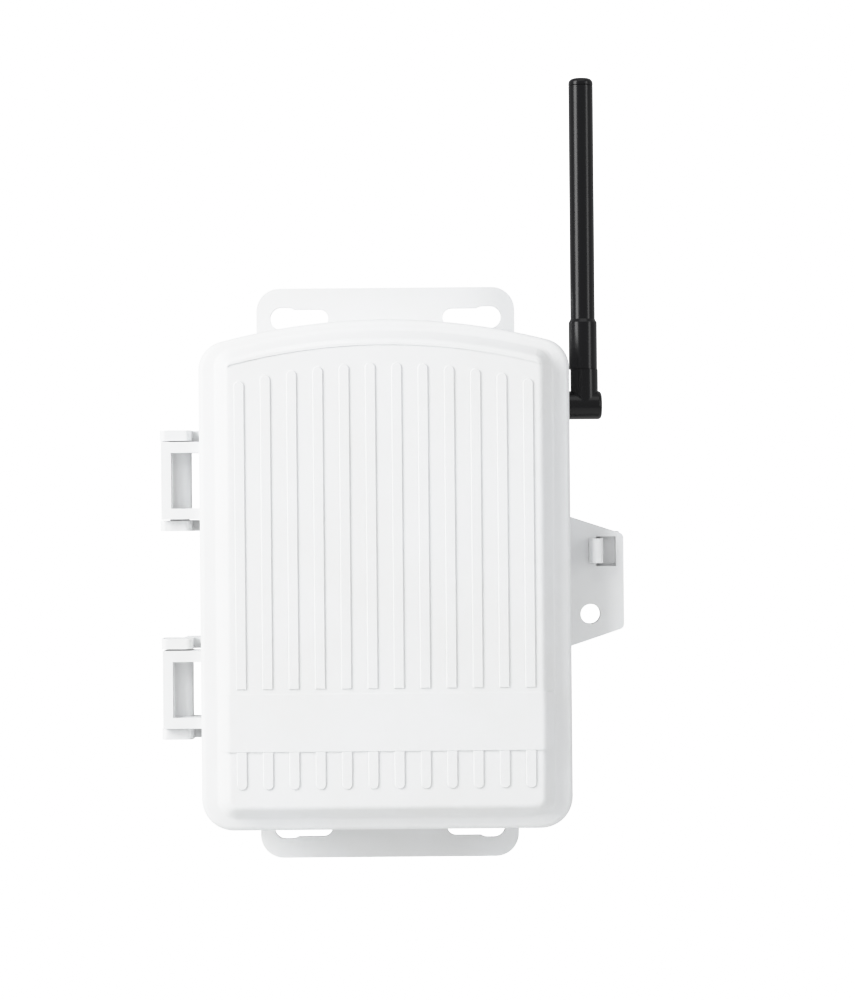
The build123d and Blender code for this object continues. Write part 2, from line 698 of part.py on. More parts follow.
# the power switch: a slider in a slotted metal case, with two positions
switch_x, switch_z = -18.0, 24.0
with BuildPart() as power_switch:
    block(switch_x - 5.5, switch_x + 5.5, switch_z - 3, switch_z + 3, board_front, board_front + 5)
    slot = rectangle(board_front + 2, switch_x - 3.4, switch_x + 3.4, switch_z - 1.4, switch_z + 1.4)
    extrude(slot, amount=5, mode=Mode.SUBTRACT)
power_switch.part.label = "power_switch"
export_step(power_switch.part, "parts/power_switch.step")

slider_half = 1.1
slider_span = (switch_x - 3.1, switch_x - 0.1)
slider_depth = (board_front + 2.3, board_front + 8)
with BuildPart() as switch_slider:
    block(*slider_span, switch_z - slider_half, switch_z + slider_half, *slider_depth)
    fillet(switch_slider.faces().sort_by(Axis.Y)[0].edges(), 0.3)
switch_slider.part.label = "switch_slider"
export_step(switch_slider.part, "parts/switch_slider.step")

# ---------------------------------------------------------------- battery holder
holder_back = plate_thickness + 1.0
holder_front = 20.0
holder_tab_back, holder_tab_front = 8.0, 11.0
with BuildPart() as battery_holder:
    block(holder_left, holder_right, holder_low, holder_high, holder_back, holder_front)
    fillet(battery_holder.edges().filter_by(Axis.Y), 2.0)
    for count in (-1, 0, 1):
        x = (holder_left + holder_right) / 2 + count * cell_pitch
        round_bar(FLOOR.offset(bay_low), x, -cell_depth, cell_radius + 0.35, bay_length, Mode.SUBTRACT)
    for x, z in holder_spots:
        side = 1 if x > 0 else -1
        near, far = sorted((x - side * 8, x + side * 5))
        block(near, far, z - 6, z + 6, holder_tab_back, holder_tab_front)
        extrude(disc(holder_tab_back - 1, x, z, clear_hole), amount=6, mode=Mode.SUBTRACT)
battery_holder.part.label = "battery_holder"
export_step(battery_holder.part, "parts/battery_holder.step")

screws("holder_screws", holder_spots, holder_tab_front)

# each cell has its plate at the nub and its spring at the flat end; the middle one is turned round
bays = []
for count in (-1, 0, 1):
    bay_x = (holder_left + holder_right) / 2 + count * cell_pitch
    bays.append((bay_x, count == 0))
bay_high = bay_low + bay_length
spring_length = bay_length - contact_plate - cell_length

with BuildPart() as battery_cells:
    for x, turned in bays:
        foot = bay_low + contact_plate if turned else bay_low + spring_length
        can = foot + cell_nub if turned else foot
        nub = foot if turned else foot + cell_length - cell_nub
        round_bar(FLOOR.offset(can), x, -cell_depth, cell_radius, cell_length - cell_nub)
        round_bar(FLOOR.offset(nub), x, -cell_depth, cell_nub_radius, cell_nub)
battery_cells.part.label = "battery_cells"
export_step(battery_cells.part, "parts/battery_cells.step")

with BuildPart() as battery_plates:
    for x, turned in bays:
        low = bay_low if turned else bay_high - contact_plate
        block(x - 5, x + 5, low, low + contact_plate, cell_depth - 5, cell_depth + 5)
battery_plates.part.label = "battery_plates"
export_step(battery_plates.part, "parts/battery_plates.step")

with BuildPart() as battery_springs:
    for x, turned in bays:
        wall_z = bay_high if turned else bay_low
        cell_z = bay_high - spring_length if turned else bay_low + spring_length
        rings = []
        for height, radius in ((wall_z, 7.0), (cell_z, 4.5)):
            with BuildSketch(FLOOR.offset(height)) as ring:
                with Locations((x, -cell_depth)):
                    Circle(radius)
            rings.append(ring.sketch)
        loft(rings)
battery_springs.part.label = "battery_springs"
export_step(battery_springs.part, "parts/battery_springs.step")

# ---------------------------------------------------------------- bottom wall fittings
with BuildPart() as cable_grommet:
    round_bar(FLOOR.offset(base_floor - 2.5), port_x, -port_depth, 8.5, 2.3)
    fillet(cable_grommet.edges().sort_by(Axis.Z)[0], 1.0)
    round_bar(FLOOR.offset(base_floor - 1), port_x, -port_depth, port_radius, base_wall + 1.2)
    round_bar(FLOOR.offset(base_floor + base_wall + 0.2), port_x, -port_depth, 7.6, 1.8)
    round_bar(FLOOR.offset(base_floor - 5), port_x, -port_depth, port_bore, 15, Mode.SUBTRACT)
cable_grommet.part.label = "cable_grommet"
export_step(cable_grommet.part, "parts/cable_grommet.step")

with BuildPart() as vent_plug:
    round_bar(FLOOR.offset(base_floor - 2.7), vent_x, -port_depth, 6.5, 2.5)
    fillet(vent_plug.edges().sort_by(Axis.Z)[0], 1.0)
    round_bar(FLOOR.offset(base_floor - 1), vent_x, -port_depth, vent_radius, base_wall + 2.5)
vent_plug.part.label = "vent_plug"
export_step(vent_plug.part, "parts/vent_plug.step")


# ---------------------------------------------------------------- inner wires
def wire(name, route, radius):
    """A wire along straight runs joined by tangent arcs as large as the runs allow."""
    points = [Vector(*point) for point in route]
    runs = [b - a for a, b in zip(points, points[1:])]
    radii = []
    for one, two in zip(runs, runs[1:]):
        turn = math.radians(one.get_angle(two))
        radii.append(0.45 * min(one.length, two.length) / math.tan(turn / 2))
    with BuildPart() as lead:
        with BuildLine() as path:
            FilletPolyline(*points, radius=radii)
        start = Plane(origin=points[0], z_dir=runs[0])
        with BuildSketch(start) as section:
            Circle(radius)
        sweep(section.sketch, path=path.wire())
    length = path.wire().length
    share = lead.part.volume / (math.pi * radius**2 * length)
    rounded = [round(radius_of_arc, 1) for radius_of_arc in radii]
    print(f"{name}: length {length:.1f} mm, radii {rounded}, volume share {share:.4f}")
    lead.part.label = name
    export_step(lead.part, f"parts/{name}.step")


coax_route = [
    (80.0, -33.0, 88.5),
    (71.0, -33.0, 88.5),
    (62.4, -31.4, 85.4),
    (55.6, -27.6, 80.6),
    (51.8, -22.6, 75.0),
    (50.0, -17.4, 67.5),
    (50.0, -17.4, 58.5),
]
wire("coax_lead", coax_route, 1.3)

with BuildPart() as coax_plug:
    block(47.2, 52.8, 49.5, 58.5, board_front + 1.0, board_front + 7.6)
    fillet(coax_plug.edges().filter_by(Axis.Z), 1.0)
    extrude(disc(board_front, 50, 54, 2.2), amount=2.0)
coax_plug.part.label = "coax_plug"
export_step(coax_plug.part, "parts/coax_plug.step")

red_route = [
    (-34.0, -17.0, -44.0),
    (-34.0, -17.0, -35.0),
    (-32.4, -18.6, -25.8),
    (-30.6, -19.8, -16.0),
    (-31.2, -18.8, -6.4),
    (-32.6, -16.8, 3.0),
    (-32.6, -16.8, 12.0),
]
black_route = [
    (-30.0, -17.0, -44.0),
    (-30.0, -17.0, -35.4),
    (-28.0, -18.9, -26.4),
    (-26.4, -20.0, -16.6),
    (-27.4, -18.6, -7.0),
    (-29.4, -16.8, 2.6),
    (-29.4, -16.8, 12.0),
]
wire("battery_lead_red", red_route, 0.8)
wire("battery_lead_black", black_route, 0.8)

with BuildPart() as battery_plug:
    block(-35.2, -26.8, 12.0, 19.5, board_front + 1.2, board_front + 7.0)
    block(-34.2, -27.8, 16.0, 20.5, board_front, board_front + 3.0)
battery_plug.part.label = "battery_plug"
export_step(battery_plug.part, "parts/battery_plug.step")
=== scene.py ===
# %% [markdown]
# # An outdoor wireless bridge in its weather shelter
# A white moulded box stands on a wall. It has a ribbed door on two hinges, a snap latch with a padlock
# tab, and a black whip antenna on its right side. The shapes that carry load or move come from the CAD
# model, which is loaded first and stays as it is. This notebook adds what makes it look real: finishes,
# small repeated parts, and the light.

import json
import math
import random

import bmesh
import bpy
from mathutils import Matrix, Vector


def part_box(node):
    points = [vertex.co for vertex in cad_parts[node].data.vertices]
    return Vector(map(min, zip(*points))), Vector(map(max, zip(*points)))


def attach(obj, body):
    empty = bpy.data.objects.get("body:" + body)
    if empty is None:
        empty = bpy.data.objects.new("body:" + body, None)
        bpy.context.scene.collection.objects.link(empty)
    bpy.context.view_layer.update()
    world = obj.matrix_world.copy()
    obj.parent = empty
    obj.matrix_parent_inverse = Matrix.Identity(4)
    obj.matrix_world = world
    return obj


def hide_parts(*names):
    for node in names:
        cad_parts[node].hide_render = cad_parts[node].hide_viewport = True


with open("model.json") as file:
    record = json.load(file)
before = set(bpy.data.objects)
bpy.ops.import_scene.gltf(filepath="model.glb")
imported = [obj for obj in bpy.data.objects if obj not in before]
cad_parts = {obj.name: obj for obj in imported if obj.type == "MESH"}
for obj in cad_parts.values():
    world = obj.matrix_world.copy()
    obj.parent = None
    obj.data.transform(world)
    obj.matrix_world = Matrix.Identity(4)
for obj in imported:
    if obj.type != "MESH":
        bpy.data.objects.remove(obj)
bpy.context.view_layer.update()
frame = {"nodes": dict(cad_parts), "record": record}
nodes = frame["nodes"]
scene = bpy.context.scene
mm = 0.001

# %% [markdown]
# ## Camera
# A long lens from about 1.2 m keeps the sides of the box nearly parallel, as a catalogue view does. The
# camera looks straight at the wall. It is turned by half a degree about its own axis, so the box leans
# a little to the left in the picture.

# %% Camera
lens_length, sensor_width = 85.0, 36.0
camera_place = (21.96 * mm, -1284.0 * mm, 39.05 * mm)
camera_roll = math.radians(0.517)
camera_data = bpy.data.cameras.new("camera")
camera_data.lens = lens_length
camera_data.sensor_width = sensor_width
camera = bpy.data.objects.new("camera", camera_data)
camera.location = camera_place
camera.rotation_euler = (math.radians(90), camera_roll, 0)
scene.collection.objects.link(camera)
scene.camera = camera
print("camera, in mm:", [round(c / mm, 1) for c in camera_place])

# %% [markdown]
# ## Film response
# A camera does not clip bright tones all at once: its response bends over near white. The same bend
# here keeps the tone in the bright left edges while the backdrop still reaches full white. Tones up to
# 0.75 stay as they are, and 1.6 becomes white.

# %% Film response
white_point = 1.6
shoulder = ((0.75, 0.75), (0.85, 0.832), (1.0, 0.905), (1.2, 0.955))
scene.view_settings.view_transform = "Standard"
scene.view_settings.use_curve_mapping = True
response = scene.view_settings.curve_mapping
response.white_level = (white_point, white_point, white_point)
all_channels = 3
curve = response.curves[all_channels]
for bright, shown in shoulder:
    curve.points.new(bright / white_point, shown)
for point in list(curve.points)[:2]:
    point.handle_type = "VECTOR"
response.update()
print("points on the curve:", len(curve.points))

# %% [markdown]
# ## Light
# White plastic is shown on white, so much of the light has no direction: a pale sky all round, brighter
# above than below. Three softboxes give the shapes their edges. A tall, bright one on the left lights
# the raised panel's left edge, throws the panel's soft shadow on its right rim and draws the long
# highlight on the antenna. A narrow one on the right draws the second, thin highlight. A broad, weak
# one above lights the tops of the edges and leaves the lower plate in the case's shade.


# %% Sky and softboxes
def softbox(name, place, target, width, height, radiance):
    """A rectangular lamp of a given brightness that faces a target."""
    lamp = bpy.data.lights.new(name, "AREA")
    lamp.shape = "RECTANGLE"
    lamp.size = width
    lamp.size_y = height
    lamp.energy = radiance * math.pi * width * height
    box = bpy.data.objects.new(name, lamp)
    box.location = place
    box.rotation_euler = (Vector(target) - Vector(place)).to_track_quat("-Z", "Y").to_euler()
    scene.collection.objects.link(box)
    return box


middle = (0.0, -0.04, 0.04)
softbox("key_softbox", (-1.17, -0.84, 0.60), middle, 0.74, 1.10, 7.2)
softbox("fill_softbox", (1.24, -0.84, 0.30), middle, 0.36, 0.90, 3.4)
softbox("top_softbox", (0.1, -0.85, 1.30), middle, 1.3, 0.8, 0.9)

sky_low, sky_high = 0.40, 0.56
sky_colour = (0.985, 0.992, 1.0, 1)
world = bpy.data.worlds.new("studio")
world.use_nodes = True
scene.world = world
sky = world.node_tree.nodes
sky_links = world.node_tree.links
sky.clear()
direction = sky.new("ShaderNodeTexCoord")
split = sky.new("ShaderNodeSeparateXYZ")
rise = sky.new("ShaderNodeMapRange")
for name, value in (("From Min", -1), ("From Max", 1), ("To Min", sky_low), ("To Max", sky_high)):
    rise.inputs[name].default_value = value
sky_light = sky.new("ShaderNodeBackground")
sky_light.inputs["Color"].default_value = sky_colour
sky_seen = sky.new("ShaderNodeBackground")
sky_seen.inputs["Color"].default_value = (1, 1, 1, 1)
sky_seen.inputs["Strength"].default_value = white_point
ray = sky.new("ShaderNodeLightPath")
pick = sky.new("ShaderNodeMixShader")
sky_out = sky.new("ShaderNodeOutputWorld")
sky_links.new(direction.outputs["Generated"], split.inputs[0])
sky_links.new(split.outputs["Z"], rise.inputs["Value"])
sky_links.new(rise.outputs["Result"], sky_light.inputs["Strength"])
sky_links.new(ray.outputs["Is Camera Ray"], pick.inputs[0])
sky_links.new(sky_light.outputs[0], pick.inputs[1])
sky_links.new(sky_seen.outputs[0], pick.inputs[2])
sky_links.new(pick.outputs[0], sky_out.inputs[0])
print("sky from", sky_low, "below to", sky_high, "above")

# %% [markdown]
# ## Finishes
# Every finish is a small node tree round one Principled shader. Three patterns serve all of them: a
# broad cloud that shifts the colour by a percent or two, a fine grain that a mould or a brush leaves,
# and a second cloud that makes the gloss uneven. All read Object coordinates. The pieces sit at the
# origin, so these are metres on the real object, and a grain of 0.4 mm stays 0.4 mm everywhere.


# %% Helpers for finishes
class Finish:
    """A material under construction: its tree, its shader, and short ways to add nodes."""

    def __init__(self, name):
        self.material = bpy.data.materials.new(name)
        self.material.use_nodes = True
        self.tree = self.material.node_tree
        self.shader = self.tree.nodes["Principled BSDF"]
        self.place = self.add("ShaderNodeTexCoord").outputs["Object"]

    def add(self, kind, settings=None, **values):
        """Add a node; values go to its inputs by name, links if they are sockets."""
        node = self.tree.nodes.new(kind)
        for key, value in (settings or {}).items():
            setattr(node, key, value)
        for key, value in values.items():
            self.feed(node.inputs[key.replace("_", " ")], value)
        return node

    def feed(self, socket, value):
        if isinstance(value, bpy.types.NodeSocket):
            self.tree.links.new(value, socket)
        else:
            socket.default_value = value

    def stretched(self, scale):
        """Object coordinates, stretched by a factor on each axis."""
        return self.add("ShaderNodeMapping", Vector=self.place, Scale=scale).outputs["Vector"]

    def cloud(self, size, detail=2.0, vector=None, roughness=0.5):
        """Soft noise whose blotches are about this many metres across."""
        noise = self.add("ShaderNodeTexNoise", Vector=vector or self.place, Scale=1 / size, Detail=detail)
        noise.inputs["Roughness"].default_value = roughness
        return noise.outputs["Fac"]

    def blend(self, factor, low, high, start=0.0, end=1.0):
        """A colour between two, as the factor goes from start to end."""
        ramp = self.add("ShaderNodeValToRGB", Fac=factor)
        for stop, place, colour in zip(ramp.color_ramp.elements, (start, end), (low, high)):
            stop.position = place
            stop.color = (*colour, 1)
        return ramp.outputs["Color"]

    def spread(self, value, low, high, start=0.3, end=0.7):
        """Map a value to a range."""
        node = self.add("ShaderNodeMapRange", Value=value)
        for key, number in (("From Min", start), ("From Max", end), ("To Min", low), ("To Max", high)):
            node.inputs[key].default_value = number
        return node.outputs["Result"]

    def relief(self, height, depth, under=None):
        """A bump of a real depth in metres, over another one if given."""
        node = self.add("ShaderNodeBump", Height=height, Distance=depth)
        if under is not None:
            self.feed(node.inputs["Normal"], under)
        return node.outputs["Normal"]

    def shade(self, **values):
        """Set the shader's inputs by name."""
        for key, value in values.items():
            self.feed(self.shader.inputs[key.replace("_", " ")], value)
        return self.material


def tinted(colour, factor):
    """A colour made lighter or darker."""
    return tuple(min(1.0, channel * factor) for channel in colour)


def moulded(name, colour, roughness, grain=0.4, depth=0.012, shift=0.03, uneven=1.0, **more):
    """Injection-moulded plastic: fine spark texture, faint clouds in colour and gloss.

    Grain and depth are in mm. Shift is the change in tone, and uneven is how much the gloss wanders.
    """
    finish = Finish(name)
    darker, lighter = tinted(colour, 1 - shift), tinted(colour, 1 + shift)
    tone = finish.blend(finish.cloud(0.035, 4), darker, lighter, 0.3, 0.7)
    gloss = finish.spread(finish.cloud(0.012, 3), roughness - 0.04 * uneven, roughness + 0.05 * uneven)
    fine = finish.relief(finish.cloud(grain * mm, 3, roughness=0.65), depth * mm)
    return finish.shade(Base_Color=tone, Roughness=gloss, Normal=fine, **more)


print("finish helpers ready")

# %% [markdown]
# ### White shelter plastic
# The shelter is moulded in UV-stable white plastic with a satin, very fine spark texture. Its gloss is
# low, so shapes read by soft shading and not by reflections. Broad clouds of one percent and a trace of
# dust in the finest grain keep the large flat plate from looking like paper.


# %% White shelter plastic
def shelter_plastic():
    """White shelter plastic with a trace of dust."""
    finish = Finish("shelter_white")
    clean, worn, dust = (0.855, 0.862, 0.868), (0.835, 0.838, 0.835), (0.62, 0.61, 0.58)
    most_dust = 0.07
    tone = finish.blend(finish.cloud(0.06, 5, roughness=0.6), worn, clean, 0.35, 0.6)
    speck = finish.spread(finish.cloud(0.7 * mm, 2), 0.0, 1.0, 0.66, 0.74)
    dusty = finish.add("ShaderNodeMix", {"data_type": "RGBA"})
    finish.feed(dusty.inputs["Factor"], finish.spread(speck, 0.0, most_dust, 0.0, 1.0))
    finish.feed(dusty.inputs["A"], tone)
    finish.feed(dusty.inputs["B"], (*dust, 1))
    gloss = finish.spread(finish.cloud(0.02, 4), 0.38, 0.50)
    coarse = finish.relief(finish.cloud(1.1 * mm, 2), 0.010 * mm)
    fine = finish.relief(finish.cloud(0.28 * mm, 3, roughness=0.7), 0.010 * mm, coarse)
    return finish.shade(
        Base_Color=dusty.outputs["Result"], Roughness=gloss, Normal=fine, Specular_IOR_Level=0.42
    )


# %% [markdown]
# ### Antenna, circuit board, metals and the lamp
# The whip, its collar and its elbow are a deep glossy black, darker than any other part, and draw clear
# vertical highlights. A little unevenness in the gloss, stretched along the whip, breaks those
# highlights up as skin oil and moulding do. The circuit board is green solder mask over copper: brick
# rows are its tracks, and square cells decide where a plain copper area lies. Metals get fine scratches
# along one axis.


# %% Antenna, circuit board, metals and the lamp
def antenna_plastic():
    """Deep black plastic whose gloss is streaked along the whip."""
    finish = Finish("antenna_black")
    tone = finish.blend(finish.cloud(0.02, 5), (0.0016, 0.0016, 0.0024), (0.003, 0.003, 0.004))
    streak = finish.cloud(0.004, 3, finish.stretched((1, 1, 0.12)))
    gloss = finish.spread(streak, 0.19, 0.24)
    fine = finish.relief(finish.cloud(0.22 * mm, 3, roughness=0.6), 0.006 * mm)
    return finish.shade(Base_Color=tone, Roughness=gloss, Normal=fine, Specular_IOR_Level=0.34)


def board_mask():
    """Solder mask over copper: tracks and plain copper areas show as relief and tone."""
    finish = Finish("board_green")
    track_row, area = 2.6 * mm, 15 * mm
    upright = finish.add("ShaderNodeMapping", Vector=finish.place, Rotation=(math.radians(90), 0, 0))
    tracks = finish.add(
        "ShaderNodeTexBrick",
        {"offset": 0.37, "offset_frequency": 3, "squash": 1.6, "squash_frequency": 5},
        Vector=upright.outputs["Vector"],
        Scale=1 / track_row,
        Mortar_Size=0.055,
        Brick_Width=2.3,
    )
    flat, squares = finish.stretched((1, 0, 1)), {"distance": "CHEBYCHEV"}
    cells = finish.add("ShaderNodeTexVoronoi", squares, Vector=flat, Scale=1 / area)
    chance = finish.add("ShaderNodeSeparateColor", Color=cells.outputs["Color"])
    copper = finish.spread(chance.outputs[0], 0.25, 1.0, 0.48, 0.50)
    track = finish.add("ShaderNodeMath", {"operation": "MULTIPLY"})
    finish.feed(track.inputs[0], tracks.outputs["Fac"])
    finish.feed(track.inputs[1], copper)
    tone = finish.blend(track.outputs[0], (0.014, 0.115, 0.052), (0.026, 0.175, 0.078))
    raised = finish.relief(track.outputs[0], 0.05 * mm)
    return finish.shade(Base_Color=tone, Roughness=0.28, Normal=raised, Coat_Weight=0.25)


def brushed(name, colour, roughness, stretch=(1, 1, 1), grain=0.25):
    """Worked metal: scratches a grain (in mm) apart, drawn out by the stretch, and stains in the tone."""
    finish = Finish(name)
    scratch = finish.cloud(grain * mm, 3, finish.stretched(stretch))
    tone = finish.blend(finish.cloud(0.008, 3), tinted(colour, 0.93), tinted(colour, 1.04))
    gloss = finish.spread(scratch, roughness - 0.05, roughness + 0.07)
    fine = finish.relief(scratch, 0.0015 * mm)
    return finish.shade(Base_Color=tone, Metallic=1.0, Roughness=gloss, Normal=fine)


def lens():
    """The status lamp's clear green dome."""
    finish = Finish("led_lens")
    haze = finish.spread(finish.cloud(0.0015, 2), 0.12, 0.22)
    tone = finish.blend(finish.cloud(0.003, 2), (0.45, 0.9, 0.42), (0.62, 0.97, 0.55))
    return finish.shade(Base_Color=tone, Roughness=haze, Transmission_Weight=0.75, IOR=1.5)


# %% [markdown]
# ### The list of finishes
# Every material slot of the CAD model gets its finish by name, so a piece changes its finish in one
# place. Colours are linear, as Blender's sockets expect, so a dark one is a smaller number than it looks
# on a screen. After its colour, a moulded finish gives roughness, grain, depth and shift in tone, and a
# brushed one gives roughness and the stretch of its scratches.

# %% The list of finishes
finishes = {
    "shelter_white": shelter_plastic(),
    "antenna_black": antenna_plastic(),
    "gasket_rubber": moulded("gasket_rubber", (0.035, 0.035, 0.037), 0.62, 0.3, 0.02, 0.15),
    "steel": brushed("steel", (0.56, 0.56, 0.57), 0.32, (1, 1, 6)),
    "nickel_plate": brushed("nickel_plate", (0.70, 0.68, 0.63), 0.22),
    "bare_brass": brushed("bare_brass", (0.74, 0.55, 0.27), 0.30),
    "board_green": board_mask(),
    "tin_plate": brushed("tin_plate", (0.66, 0.67, 0.68), 0.27, (8, 1, 1)),
    "chip_black": moulded("chip_black", (0.022, 0.022, 0.024), 0.50, 0.12, 0.006, 0.12),
    "chip_ceramic": moulded("chip_ceramic", (0.20, 0.125, 0.075), 0.42, 0.2, 0.004, 0.15),
    "capacitor_sleeve": moulded("capacitor_sleeve", (0.018, 0.022, 0.060), 0.25, 0.8, 0.004, 0.1),
    "terminal_green": moulded("terminal_green", (0.05, 0.30, 0.12), 0.42, 0.25, 0.01, 0.06),
    "led_lens": lens(),
    "holder_black": moulded("holder_black", (0.020, 0.020, 0.022), 0.46, 0.4, 0.015, 0.12),
    "cell_sleeve": moulded("cell_sleeve", (0.045, 0.068, 0.115), 0.26, 0.5, 0.002, 0.03, 0.3),
    "vent_grey": moulded("vent_grey", (0.30, 0.31, 0.32), 0.48, 0.3, 0.01, 0.05),
    "coax_jacket": moulded("coax_jacket", (0.022, 0.022, 0.023), 0.40, 0.3, 0.006, 0.12),
    "wire_red": moulded("wire_red", (0.50, 0.018, 0.015), 0.36, 0.3, 0.005, 0.06),
    "wire_black": moulded("wire_black", (0.018, 0.018, 0.019), 0.38, 0.3, 0.005, 0.12),
    "plug_white": moulded("plug_white", (0.76, 0.74, 0.67), 0.45, 0.3, 0.008, 0.03),
}
for part in frame["record"]["subparts"]:
    mesh = nodes[part["node"]].data
    mesh.materials.clear()
    mesh.materials.append(finishes[part["material_slot"]])
print(len(finishes), "finishes on", len(nodes), "CAD pieces")

# %% [markdown]
# ## Small repeated parts
# Screws, springs, chip legs and solder rings repeat, so Geometry Nodes make them. A recipe is one node
# tree with named sizes. It grows its part on every vertex of a small seed mesh, makes the copies real
# and gives them their finish. The result is kept as a plain mesh, and the modifier is thrown away.
# Loops in Python could copy meshes too, but a recipe keeps its sizes open to change in one place.


# %% Helpers for recipes
class Recipe:
    """A Geometry Nodes tree under construction, with named size inputs."""

    def __init__(self, name):
        self.tree = bpy.data.node_groups.new(name, "GeometryNodeTree")
        for way in ("INPUT", "OUTPUT"):
            self.tree.interface.new_socket("Geometry", in_out=way, socket_type="NodeSocketGeometry")
        self.inlet = self.tree.nodes.new("NodeGroupInput")
        self.outlet = self.tree.nodes.new("NodeGroupOutput")
        self.places = self.inlet.outputs["Geometry"]

    def size(self, name, value, kind="Float"):
        """A named input with its usual value; returns its socket inside the tree."""
        socket = self.tree.interface.new_socket(name, in_out="INPUT", socket_type="NodeSocket" + kind)
        socket.default_value = value
        return self.inlet.outputs[name]

    def add(self, kind, settings=None, **values):
        """Add a node and return its first output; sockets in values are linked."""
        node = self.tree.nodes.new(kind)
        for key, value in (settings or {}).items():
            setattr(node, key, value)
        for key, value in values.items():
            self.feed(node.inputs[key.replace("_", " ")], value)
        return node.outputs[0]

    def feed(self, socket, value):
        """Link a socket, or several, to this one, or set its value."""
        if isinstance(value, (bpy.types.NodeSocket, list)):
            for one in value if isinstance(value, list) else [value]:
                self.tree.links.new(one, socket)
        else:
            socket.default_value = value

    def math(self, operation, *terms):
        """Arithmetic on sockets and numbers."""
        node = self.tree.nodes.new("ShaderNodeMath")
        node.operation = operation
        for socket, term in zip(node.inputs, terms):
            self.feed(socket, term)
        return node.outputs[0]

    def vector(self, x=0.0, y=0.0, z=0.0):
        """A vector from sockets and numbers."""
        return self.add("ShaderNodeCombineXYZ", X=x, Y=y, Z=z)

    def moved(self, geometry, **values):
        """Shift, turn or scale a shape."""
        return self.add("GeometryNodeTransform", Geometry=geometry, **values)

    def joined(self, *shapes):
        """Several shapes as one."""
        return self.add("GeometryNodeJoinGeometry", Geometry=list(shapes))

    def line_of(self, count, step, off=0.0):
        """Points in a row along X, with their middle at zero, and off to the side along Y."""
        length = self.math("MULTIPLY", self.math("SUBTRACT", count, 1.0), step)
        start = self.vector(self.math("MULTIPLY", length, -0.5), off)
        gaps = {"Start_Location": start, "Offset": self.vector(step)}
        return self.add("GeometryNodeMeshLine", Count=count, **gaps)

    def copies(self, shape, places, **values):
        """One copy of the shape on every place."""
        return self.add("GeometryNodeInstanceOnPoints", Points=places, Instance=shape, **values)

    def close(self, shape, turn, finish):
        """Grow the shape on every place, turned, then make it real and give it its finish."""
        grown = self.copies(shape, self.places, Rotation=turn)
        real = self.add("GeometryNodeRealizeInstances", Geometry=grown)
        done = self.add("GeometryNodeSetMaterial", Geometry=real, Material=finish)
        self.tree.links.new(done, self.outlet.inputs["Geometry"])
        return self


sharp_angle = math.radians(35)


def eased(mesh):
    """Smooth shading that leaves the sharp edges sharp."""
    mesh.shade_smooth()
    mesh.set_sharp_from_angle(angle=sharp_angle)
    return mesh


def adopt(piece, body, slot, *stands_for):
    """Hang a piece on its body's empty, and hide the CAD nodes it stands for. The slot is not used."""
    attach(piece, body)
    if stands_for:
        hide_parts(*stands_for)
    print(piece.name, len(piece.data.polygons), "faces on", body)
    return piece


def applied(piece):
    """Keep what the modifiers make as the piece's own mesh, and drop the modifiers."""
    view = bpy.context.evaluated_depsgraph_get()
    final = bpy.data.meshes.new_from_object(piece.evaluated_get(view))
    piece.modifiers.clear()
    piece.data = eased(final)
    return piece


def grow(name, recipe, places, sizes=None):
    """Run a recipe on a seed mesh of places in metres, and keep the result as a plain mesh."""
    seed = bpy.data.meshes.new(name)
    seed.from_pydata([tuple(place) for place in places], [], [])
    piece = bpy.data.objects.new(name, seed)
    scene.collection.objects.link(piece)
    modifier = piece.modifiers.new("recipe", "NODES")
    modifier.node_group = recipe.tree
    for item in recipe.tree.interface.items_tree:
        if item.in_out == "INPUT" and item.name in (sizes or {}):
            modifier[item.identifier] = sizes[item.name]
    return applied(piece)


# A recipe builds its part upright, along +Z. This turn points it out of the wall, along -Y.
face_front = (math.radians(90), 0.0, 0.0)
print("recipe helpers ready")

# %% [markdown]
# ### Pan-head screws
# The board and the battery holder are held by pan-head screws with a cross recess. The head is a disc
# whose top drops towards its edge by a power of the radius. That curve is what tells a pan head from a
# plain disc. Two crossed bars are cut out of it with a Boolean. The proportions of the head are shares
# of its own radius and height, so they hold for any size of screw.

# %% Pan-head screws
head_radius, head_height = 2.9 * mm, 2.0 * mm
shank_radius, shank_length = 1.45 * mm, 6.4 * mm
edge_drop, drop_power = 0.55, 3.2
recess_width, recess_span = 0.75 * mm, 1.25
recess_height, recess_middle = 1.1, 0.62


